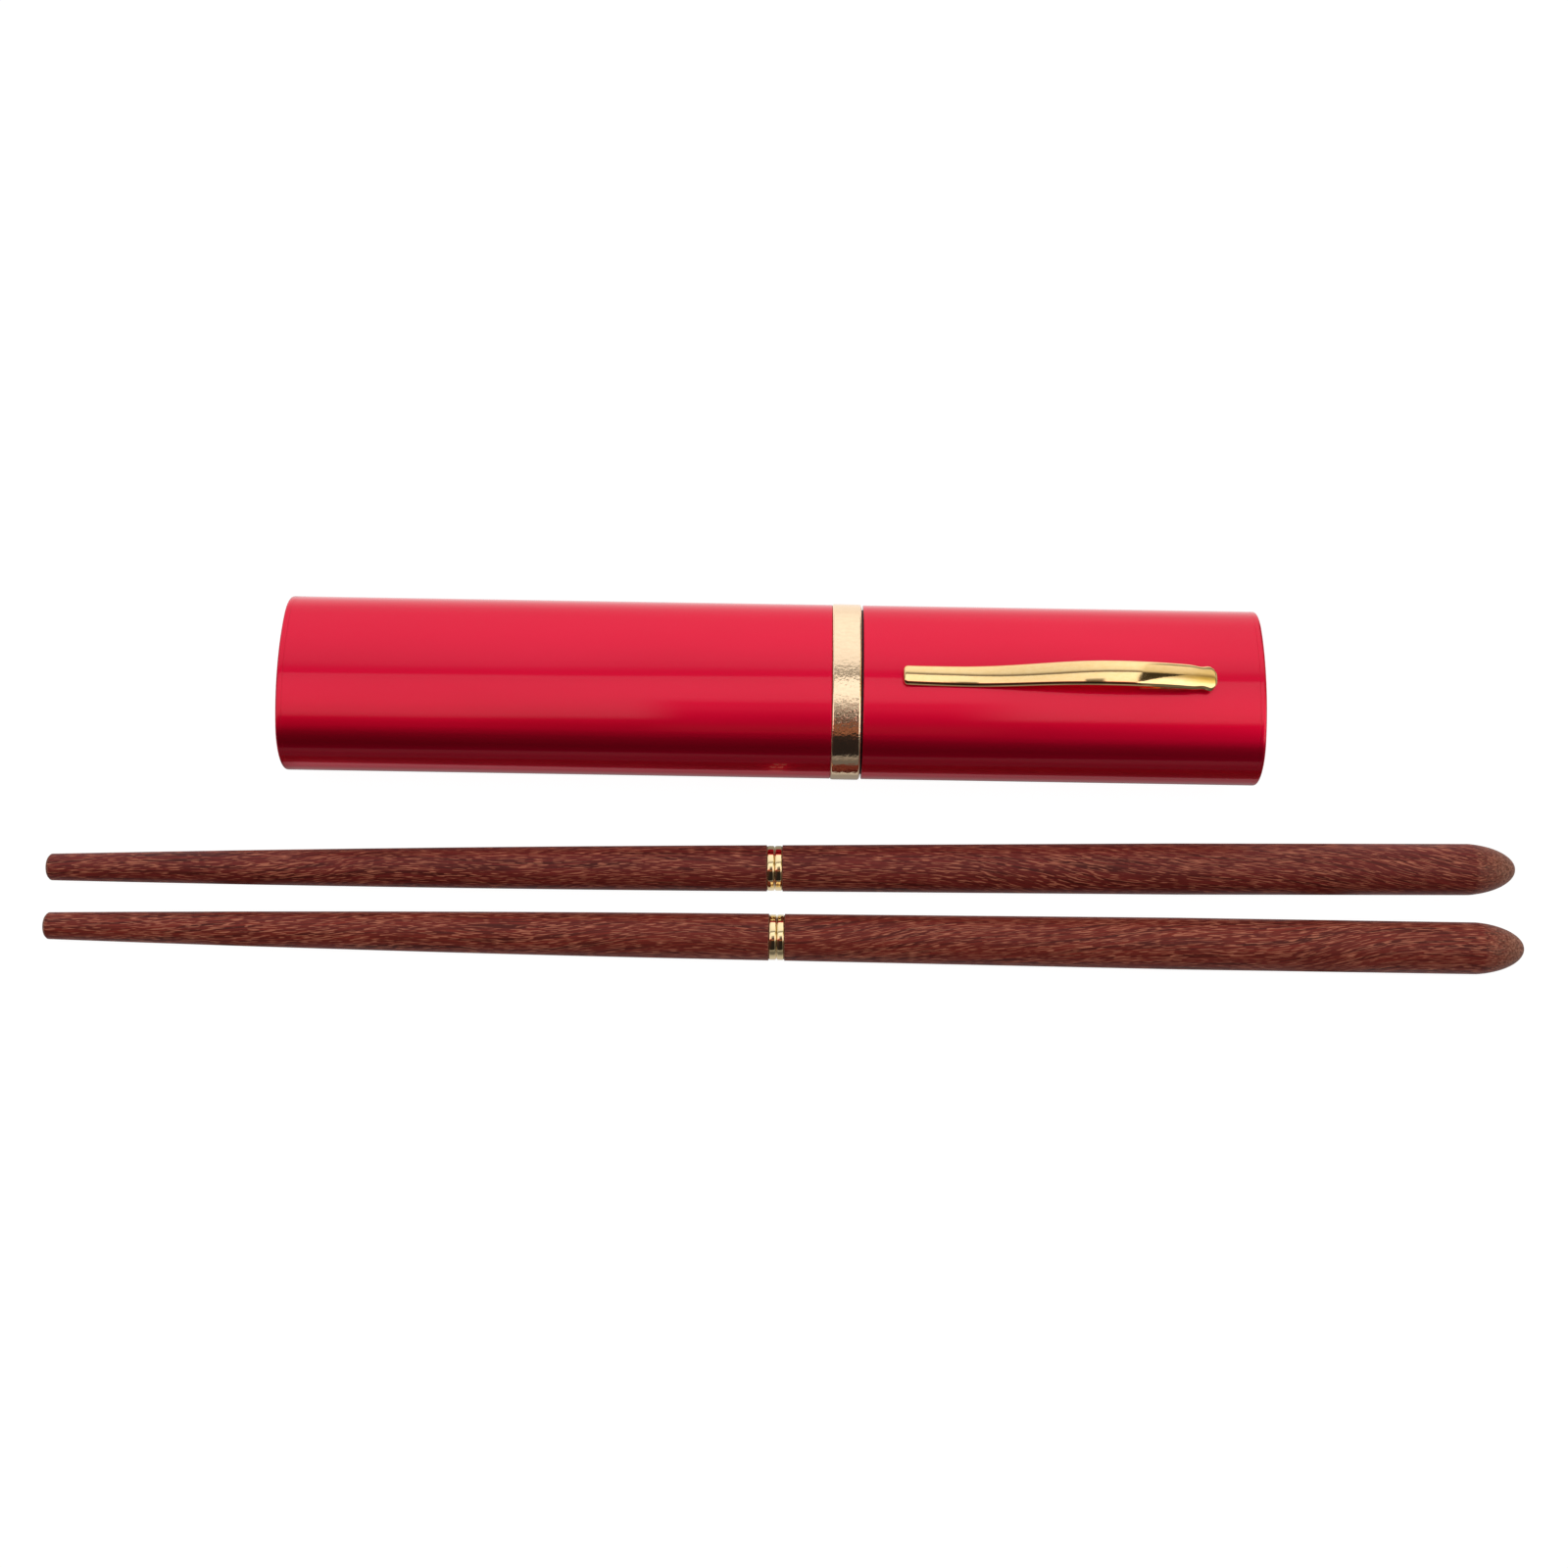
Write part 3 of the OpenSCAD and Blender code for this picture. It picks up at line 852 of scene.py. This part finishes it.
def build_case(red, band_gold, black):
    group = oval_wall_group()
    body_edges = (JOINT_EDGE, TUBE_EDGE)
    body = oval_wall("body_shell", group, body_low.x, body_high.x, 0, TUBE_WALL, body_edges, red)
    keep(body, "case_body", "red_aluminium", "body_tube")
    cap_edges = (MOUTH_EDGE, JOINT_EDGE)
    cap = oval_wall("cap_shell", group, cap_low.x, cap_high.x, 0, TUBE_WALL, cap_edges, red)
    keep(cap, "cap", "red_aluminium", "cap_tube")
    proud = body_low.y - band_low.y
    band = oval_wall("collar_ring", group, band_low.x, band_high.x, -proud, proud + TUBE_WALL,
                     (BAND_EDGE, BAND_EDGE), band_gold)
    keep(band, "case_body", "gold_metal", "collar_band")
    neck_inset = TUBE_WALL + SLIDE_FIT
    neck_edges = (NECK_EDGE, NECK_EDGE)
    neck = oval_wall("neck_tube", group, neck_low.x, neck_high.x, neck_inset, NECK_WALL, neck_edges, black)
    keep(neck, "case_body", "black_plastic", "neck_sleeve")
    body_end = end_plug("body_plug", body_low.x, body_plug_high.x, body_plug_low.x, red)
    keep(body_end, "case_body", "red_aluminium", "body_end_plug")
    cap_end = end_plug("cap_plug", cap_high.x, cap_plug_low.x, cap_plug_high.x, red)
    keep(cap_end, "cap", "red_aluminium", "cap_end_plug")


def ease(u):
    return (1 - math.cos(math.pi * u)) / 2


def gap_at(s):
    """Gap under the clip's arm at a distance from its tip."""
    if s < TOUCH_AT:
        return TOUCH_GAP + (TIP_RISE - TOUCH_GAP) * (1 - s / TOUCH_AT) ** 2
    if s < BOW_AT:
        return TOUCH_GAP + (BOW_GAP - TOUCH_GAP) * ease((s - TOUCH_AT) / (BOW_AT - TOUCH_AT))
    return BOW_GAP + (ROOT_GAP - BOW_GAP) * ((s - BOW_AT) / (BEND_S - BOW_AT)) ** 2


def half_width(s):
    """Half the clip's width at a distance from its tip: blunt tip, swell, waist and rounded bill."""
    wide = TIP_HALF + (ROOT_HALF - TIP_HALF) * s / CLIP_LEN
    wide += SWELL * math.exp(-((s - BOW_AT) / SWELL_SPAN) ** 2)
    wide -= WAIST * math.exp(-((CLIP_LEN - WAIST_AT - s) / WAIST_SPAN) ** 2)
    wide += BILL_FLARE * math.exp(-((CLIP_LEN - s) / WAIST_AT) ** 2)
    if s < TIP_CORNER:
        wide -= TIP_CORNER - math.sqrt(max(0, TIP_CORNER ** 2 - (TIP_CORNER - s) ** 2))
    from_end = CLIP_LEN - s
    if from_end < BILL_LEN:
        curve = math.sqrt(max(0, 1 - (1 - from_end / BILL_LEN) ** 2))
        wide *= BILL_END + (1 - BILL_END) * curve
    return wide


def round_drop(from_edge, radius):
    """How far a rounded edge has fallen at a distance from it."""
    if from_edge >= radius:
        return 0
    return radius - math.sqrt(max(0, radius ** 2 - (radius - from_edge) ** 2))


def arm_section(wide, thick):
    """Section of the arm: flat below, crowned on top, with a round shoulder and a facet along each edge."""
    share = min(1, wide / TIP_HALF, thick / CLIP_T)
    radius = SHOULDER_R * share
    run = FACET_RUN * share
    lean = math.atan(2 * CROWN * wide / TIP_HALF ** 2)
    crown_half = wide - run - radius * (math.sin(FACET_TILT) - math.sin(lean))
    half = []
    for step in range(CROWN_STEPS + 1):
        across = crown_half * step / CROWN_STEPS
        half.append((across, thick - CROWN * (across / TIP_HALF) ** 2))
    top = half[-1][1] - radius * math.cos(lean)
    for step in range(1, SHOULDER_STEPS + 1):
        tilt = lean + (FACET_TILT - lean) * step / SHOULDER_STEPS
        half.append((crown_half + radius * (math.sin(tilt) - math.sin(lean)), top + radius * math.cos(tilt)))
    half.append((wide, half[-1][1] - run * math.tan(FACET_TILT)))
    half.append((wide, 0))
    mirrored = [(-across, rise) for across, rise in half[1:]]
    outline = half[::-1] + mirrored
    edges = {outline[0]: ARM_EDGE, outline[1]: FACET_EDGE, outline[-2]: FACET_EDGE, outline[-1]: ARM_EDGE}
    return rounded(outline, edges, ARM_EDGE_STEPS)


def leaf_section(wide, thick):
    """Section of the foot, narrower than the arm over it."""
    half = wide * FOOT_SHARE
    outline = [(-half, 0), (half, 0), (half, thick), (-half, thick)]
    return rounded(outline, dict.fromkeys(outline, FOOT_EDGE))


def strip_ring(section, s, height, lean):
    """A section stood on the strip's underside, leaning from the vertical about Y."""
    along, up = math.sin(lean), math.cos(lean)
    ring = []
    for across, rise in section:
        ring.append((arm_low.x + s + rise * along, CASE_Y + across, CASE_Z + OVAL_B + height + rise * up))
    return ring


def bend_ring(section_of, thick, angle):
    """A section on the bend, measured outward from the inside of the strip."""
    turn = math.radians(angle)
    inner = BEND_R - thick
    s = BEND_S + inner * math.cos(turn)
    height = BEND_R + inner * math.sin(turn)
    middle = BEND_S + BEND_R * math.cos(turn)
    return strip_ring(section_of(half_width(middle), thick), s, height, math.pi / 2 - turn)


def clip_arm(material):
    stations = [TIP_CORNER * (1 - math.cos(math.pi / 2 * step / TIP_STEPS)) for step in range(TIP_STEPS)]
    stations += [TIP_CORNER + (BEND_S - TIP_CORNER) * step / ARM_STEPS for step in range(ARM_STEPS)]
    rings = []
    for s in stations:
        slope = (gap_at(s + SLOPE_REACH) - gap_at(s)) / SLOPE_REACH
        thick = CLIP_T - round_drop(s, TIP_SHOULDER)
        rings.append(strip_ring(arm_section(half_width(s), thick), s, gap_at(s), -math.atan(slope)))
    last = SPLIT_ANGLE + SPLIT_SLIT
    for step in range(BEND_STEPS + 1):
        rings.append(bend_ring(arm_section, CLIP_T, BEND_START + (last - BEND_START) * step / BEND_STEPS))
    return skinned("clip_strip", rings, material)


def clip_foot(material):
    start = foot_low.x - arm_low.x
    rings = [strip_ring(leaf_section(half_width(start), FOOT_T), start, 0, 0)]
    first = SPLIT_ANGLE - SPLIT_SLIT
    for step in range(BEND_STEPS + 1):
        rings.append(bend_ring(leaf_section, FOOT_T, BEND_END + (first - BEND_END) * step / BEND_STEPS)[::-1])
    return skinned("clip_leaf", rings, material)


def clip_rivet(material):
    """Rivet with a domed head on each side."""
    centre = (rivet_low + rivet_high) / 2
    place = Matrix.Translation(centre) @ Matrix.Rotation(-math.pi / 2, 4, "Y")
    half = (rivet_high.z - rivet_low.z) / 2
    head_r = (rivet_high.x - rivet_low.x) / 2
    neck = half - RIVET_HEAD_H
    outline = [(-half, 0), (-half, head_r), (-neck, head_r), (-neck, RIVET_R),
               (neck, RIVET_R), (neck, head_r), (half, head_r), (half, 0)]
    edges = {(-half, head_r): RIVET_EDGE, (half, head_r): RIVET_EDGE}
    return turned("rivet", rounded(outline, edges), place, material)


def backing_plate(material):
    """Small plate under the rivet inside the cap."""
    work = bmesh.new()
    bmesh.ops.create_cube(work, size=1)
    size = plate_high - plate_low
    bmesh.ops.scale(work, vec=size, verts=work.verts)
    bmesh.ops.translate(work, vec=(plate_low + plate_high) / 2, verts=work.verts)
    bmesh.ops.bevel(work, geom=work.edges, offset=PLATE_EDGE, segments=PLATE_EDGE_STEPS, affect="EDGES")
    mesh = bpy.data.meshes.new("plate")
    work.to_mesh(mesh)
    work.free()
    return clean_normals(new_object("plate", mesh, material))


def build_clip(clip_gold, steel):
    keep(clip_arm(clip_gold), "clip", "gold_metal", "clip_arm")
    keep(clip_foot(clip_gold), "cap", "gold_metal", "clip_foot")
    keep(clip_rivet(steel), "cap", "steel", "clip_rivet")
    keep(backing_plate(steel), "cap", "steel", "clip_backing_plate")


def stick_place(joint_name):
    """Place of a chopstick: X along its axis from the tip to the handle, zero between the ferrules."""
    joint = next(j for j in frame["joints"] if j["name"] == joint_name)
    along = Vector(joint["axis"]).normalized()
    side = Vector((0, 0, 1)).cross(along).normalized()
    up = along.cross(side)
    turn = Matrix((along, side, up)).transposed().to_4x4()
    return Matrix.Translation(Vector(joint["pos_m"])) @ turn


def tip_outline():
    """Outline of a tip half: blunt tip, full taper, bore for the ferrule."""
    end = -TIP_LEN
    taper = TIP_LEN - WOOD_START - TIP_BEVEL
    edges = {(end, TIP_R - TIP_BEVEL): TIP_BEVEL, (end + TIP_BEVEL, TIP_R): TIP_BEVEL}
    outline = [(end, 0), (end, TIP_R - TIP_BEVEL)]
    for step in range(TAPER_STEPS + 1):
        u = step / TAPER_STEPS
        radius = TIP_R + (JOINT_R - TIP_R) * (TIP_FULLNESS * u - (TIP_FULLNESS - 1) * u * u)
        outline.append((end + TIP_BEVEL + taper * u, radius))
    edges[outline[-1]] = WOOD_EDGE
    outline += [(-WOOD_START, BARREL_R), (-WOOD_START - BARREL_LEN, BARREL_R), (-WOOD_START - BARREL_LEN, 0)]
    return rounded(outline, edges)


def handle_outline():
    """Outline of a handle half: bore for the ferrule, slow taper, straight part and domed end."""
    bottom = WOOD_START + BARREL_LEN
    outline = [(bottom, 0), (bottom, BARREL_R), (WOOD_START, BARREL_R), (WOOD_START, JOINT_R)]
    outline.append((WOOD_START + TAPER_LEN, HANDLE_R))
    shoulder = HANDLE_LEN - DOME_LEN
    long_half = DOME_LEN + DOME_BACK
    high_half = HANDLE_R / math.sqrt(1 - (DOME_BACK / long_half) ** 2)
    for step in range(DOME_STEPS):
        d = DOME_LEN * (1 - (1 - step / DOME_STEPS) ** 2)
        outline.append((shoulder + d, high_half * math.sqrt(1 - ((d + DOME_BACK) / long_half) ** 2)))
    outline.append((HANDLE_LEN, 0))
    return rounded(outline, {(WOOD_START, JOINT_R): WOOD_EDGE})


def socket_outline():
    """Ferrule of a handle half: visible ring, barrel in the wood and socket for the stud."""
    bottom = WOOD_START + BARREL_LEN
    ring_r = JOINT_R - FERRULE_SINK
    outline = [(SOCKET_LEN, 0), (SOCKET_LEN, SOCKET_R), (SEAM / 2, SOCKET_R), (SEAM / 2, ring_r),
               (WOOD_START, ring_r), (WOOD_START, BARREL_R), (bottom, BARREL_R), (bottom, 0)]
    return rounded(outline, {(SEAM / 2, ring_r): FERRULE_EDGE, (WOOD_START, ring_r): FERRULE_EDGE})


def stud_outline():
    """Ferrule of a tip half: barrel in the wood, visible ring and the core of the stud."""
    bottom = -WOOD_START - BARREL_LEN
    ring_r = JOINT_R - FERRULE_SINK
    outline = [(bottom, 0), (bottom, BARREL_R), (-WOOD_START, BARREL_R), (-WOOD_START, ring_r),
               (-SEAM / 2, ring_r), (-SEAM / 2, CORE_R), (STUD_LEN, CORE_R), (STUD_LEN, 0)]
    edged = ((-WOOD_START, ring_r), (-SEAM / 2, ring_r), (STUD_LEN, CORE_R))
    return rounded(outline, dict.fromkeys(edged, FERRULE_EDGE))


def stud_thread(name, group, place, material):
    """Screw thread wound on the stud."""
    length = STUD_LEN - THREAD_START - THREAD_END
    ridge = (CREST_R - CORE_R) / 2 + RIDGE_SINK
    made = grown(name, bpy.data.meshes.new(name), group, {
        "Turns": length / THREAD_PITCH, "Length": length, "Radius": CREST_R - ridge,
        "Ridge": ridge, "Material": material})
    made.data.transform(place @ Matrix.Translation((THREAD_START, 0, 0)))
    outward(made.data)
    return made


def build_stick(name, group, ferrule_gold):
    grain = STICKS[name]
    seed, light = grain["seed"], grain["light"]
    place = stick_place(f"{name}_turn")
    handle_wood = hardwood(f"{name}_handle_grain", place, seed, grain["handle_slope"], light)
    handle = turned(f"{name}_handle_wood", handle_outline(), place, handle_wood)
    keep(handle, f"{name}_handle", "wood", f"{name}_handle_shaft")
    tip_wood = hardwood(f"{name}_tip_grain", place, seed, grain["tip_slope"], light)
    tip = turned(f"{name}_tip_wood", tip_outline(), place, tip_wood)
    keep(tip, f"{name}_tip", "wood", f"{name}_tip_shaft")
    socket = turned(f"{name}_socket_ring", socket_outline(), place, ferrule_gold)
    keep(socket, f"{name}_handle", "gold_metal", f"{name}_handle_ferrule")
    stud = turned(f"{name}_stud_ring", stud_outline(), place, ferrule_gold)
    keep(stud, f"{name}_tip", "gold_metal", f"{name}_tip_ferrule")
    keep(stud_thread(f"{name}_thread", group, place, ferrule_gold), f"{name}_tip", "gold_metal")


def floor_painted_shading(tree):
    """Painted light and shade on the floor for reflections: strips along the case with a painted shadow under
    it, painted dark at its ends and plain past them.
    """
    coords = add(tree, "ShaderNodeTexCoord")
    split = add(tree, "ShaderNodeSeparateXYZ")
    join(tree, coords, "Object", split, "Vector")
    # Painted strips across Y, with a painted shadow under the case
    shades = [(place, (share, share, share)) for place, share in FLOOR_PAINTED_STRIPS]
    mirrored = strip_ramp(tree, (split, "Y"), shades, -FLOOR_SPAN, FLOOR_SPAN)
    outer = maths(tree, "ABSOLUTE", (split, "X"))
    away = maths(tree, "ABSOLUTE", (split, "Y"))
    near = remap(tree, (away, "Value"), *FLOOR_NEAR, 1, 0, smooth=True)
    # Painted dark band just past the case ends
    ends = remap(tree, (outer, "Value"), *FLOOR_ENDS, 0, 1 - FLOOR_END_SHADE, smooth=True)
    dimmed = maths(tree, "MULTIPLY", (ends, "Result"), (near, "Result"))
    lit = maths(tree, "SUBTRACT", 1, (dimmed, "Value"))
    faded = maths(tree, "MULTIPLY", (mirrored, "Color"), (lit, "Value"))
    outside = remap(tree, (outer, "Value"), *FLOOR_PAST, 0, 1, smooth=True)
    past = maths(tree, "MULTIPLY", (outside, "Result"), (near, "Result"))
    return balance(tree, (past, "Value"), (faded, "Value"), FLOOR_PLAIN)


def floor_material():
    """White floor with a faint shadow for the camera; reflections see painted light and shade strips on it.
    """
    made, tree, out = blank_material("floor_white")
    albedo = (FLOOR_ALBEDO, FLOOR_ALBEDO, FLOOR_ALBEDO, 1)
    matte = add(tree, "ShaderNodeBsdfDiffuse", None, {"Color": albedo})
    glow = add(tree, "ShaderNodeEmission")
    path = add(tree, "ShaderNodeLightPath")
    # Reflections see the painted light and shade, the camera a plain white level
    level = balance(tree, (path, "Is Camera Ray"), (floor_painted_shading(tree), "Result"), FLOOR_SEEN)
    join(tree, level, "Result", glow, "Strength")
    seen = maths(tree, "MAXIMUM", (path, "Is Camera Ray"), (path, "Is Glossy Ray"))
    shown = maths(tree, "MAXIMUM", (seen, "Value"), (path, "Is Transmission Ray"))
    share = maths(tree, "MULTIPLY", (shown, "Value"), FLOOR_SHARE)
    mixed = mix_shaders(tree, (share, "Value"), (matte, "BSDF"), (glow, "Emission"))
    join(tree, mixed, "Shader", out, "Surface")
    made.cycles.emission_sampling = "NONE"
    return made


def build_floor():
    work = bmesh.new()
    bmesh.ops.create_grid(work, x_segments=1, y_segments=1, size=FLOOR_HALF)
    mesh = bpy.data.meshes.new("floor")
    work.to_mesh(mesh)
    work.free()
    new_object("floor", mesh, floor_material())


def right_wall(tree, split, degrees):
    """Right side of the studio: a dark wedge that narrows to the right, over a white panel."""
    strips = strip_ramp(tree, (degrees, "Value"), RIGHT_STRIPS, *STRIP_RANGE)
    away = maths(tree, "SUBTRACT", (split, "X"), RIGHT_SIDE[1])
    lean = maths(tree, "MULTIPLY", (away, "Value"), WEDGE_SLANT)
    leaned = maths(tree, "ADD", (degrees, "Value"), (lean, "Value"))
    below = remap(tree, (degrees, "Value"), *WEDGE_TOP, 0, 1, smooth=True)
    above = remap(tree, (leaned, "Value"), *WEDGE_FOOT, 1, 0, smooth=True)
    wedge = maths(tree, "MULTIPLY", (below, "Result"), (above, "Result"))
    near = blend(tree, (wedge, "Value"), (strips, "Color"), WEDGE_SHADE)
    far_strips = strip_ramp(tree, (degrees, "Value"), FAR_STRIPS, *STRIP_RANGE)
    far = remap(tree, (split, "X"), *RIGHT_FAR, 0, 1, smooth=True)
    both = blend(tree, (far, "Result"), (near, "Result"), (far_strips, "Color"))
    edge = remap(tree, (split, "X"), *RIGHT_EDGE, 0, 1, smooth=True)
    return blend(tree, (edge, "Result"), (both, "Result"), (SIDE_SHARE, SIDE_SHARE, SIDE_SHARE))


def strip_lights(tree):
    """Colour of the studio by direction: slanting strips, the dark camera among them and the two sides."""
    coords = add(tree, "ShaderNodeTexCoord")
    split = add(tree, "ShaderNodeSeparateXYZ")
    join(tree, coords, "Generated", split, "Vector")
    front = maths(tree, "MULTIPLY", (split, "Y"), -1)
    angle = maths(tree, "ARCTAN2", (front, "Value"), (split, "Z"))
    slant = maths(tree, "MULTIPLY", (split, "X"), STRIP_SLANT)
    slanted = maths(tree, "ADD", (angle, "Value"), (slant, "Value"))
    degrees = maths(tree, "DEGREES", (slanted, "Value"))
    open_strips = strip_ramp(tree, (degrees, "Value"), OPEN_STRIPS, *STRIP_RANGE)
    camera_strips = strip_ramp(tree, (degrees, "Value"), CAMERA_STRIPS, *STRIP_RANGE)
    from_left = remap(tree, (split, "X"), *CAMERA_LEFT, 0, 1, smooth=True)
    from_right = remap(tree, (split, "X"), *CAMERA_RIGHT, 1, 0, smooth=True)
    camera = maths(tree, "MULTIPLY", (from_left, "Result"), (from_right, "Result"))
    strips = blend(tree, (camera, "Value"), (open_strips, "Color"), (camera_strips, "Color"))
    level = remap(tree, (split, "X"), -LEVEL_SPAN, LEVEL_SPAN, LEFT_LEVEL, RIGHT_LEVEL)
    lit = add(tree, "ShaderNodeVectorMath", {"operation": "SCALE"})
    join(tree, strips, "Result", lit, 0)
    join(tree, level, "Result", lit, "Scale")
    at_left = remap(tree, (split, "X"), *LEFT_SIDE, 1, 0, smooth=True)
    left = blend(tree, (at_left, "Result"), (lit, "Vector"), (SIDE_SHARE, SIDE_SHARE, SIDE_SHARE))
    right = right_wall(tree, split, degrees)
    lean = remap(tree, (degrees, "Value"), -SIDE_LEAN_SPAN, SIDE_LEAN_SPAN, -SIDE_LEAN, SIDE_LEAN)
    leaning = maths(tree, "ADD", (split, "X"), (lean, "Result"))
    at_right = remap(tree, (leaning, "Value"), *RIGHT_SIDE, 0, 1, smooth=True)
    return blend(tree, (at_right, "Result"), (left, "Result"), (right, "Result"))


def build_world():
    world = bpy.data.worlds.new("studio")
    world.use_nodes = True
    scene.world = world
    tree = world.node_tree
    tree.nodes.clear()
    out = add(tree, "ShaderNodeOutputWorld")
    light = add(tree, "ShaderNodeBackground", None, {"Strength": LIGHT_LEVEL})
    join(tree, strip_lights(tree), "Result", light, "Color")
    white = add(tree, "ShaderNodeBackground", None, {"Color": (1, 1, 1, 1), "Strength": 1.0})
    path = add(tree, "ShaderNodeLightPath")
    mixed = mix_shaders(tree, (path, "Is Camera Ray"), (light, "Background"), (white, "Background"))
    join(tree, mixed, "Shader", out, "Surface")


def build_camera():
    data = bpy.data.cameras.new("camera")
    data.lens = CAM_LENS
    data.sensor_width = CAM_SENSOR
    data.clip_start = CAM_CLIP
    camera = bpy.data.objects.new("camera", data)
    scene.collection.objects.link(camera)
    level = math.cos(CAM_RAISE)
    back = Vector((math.sin(CAM_TURN) * level, -math.cos(CAM_TURN) * level, math.sin(CAM_RAISE)))
    camera.location = CAM_TARGET + back * CAM_DISTANCE
    camera.rotation_mode = "QUATERNION"
    camera.rotation_quaternion = (-back).to_track_quat("-Z", "Y")
    scene.camera = camera


ferrule_gold = gold("ferrule_gold")
build_case(red_aluminium(), gold("band_gold"), black_plastic())
build_clip(gold("clip_gold"), plain_steel())
screw = thread_group()
for stick_name in STICKS:
    build_stick(stick_name, screw, ferrule_gold)
build_floor()
build_world()
build_camera()
scene.view_settings.view_transform = "Standard"
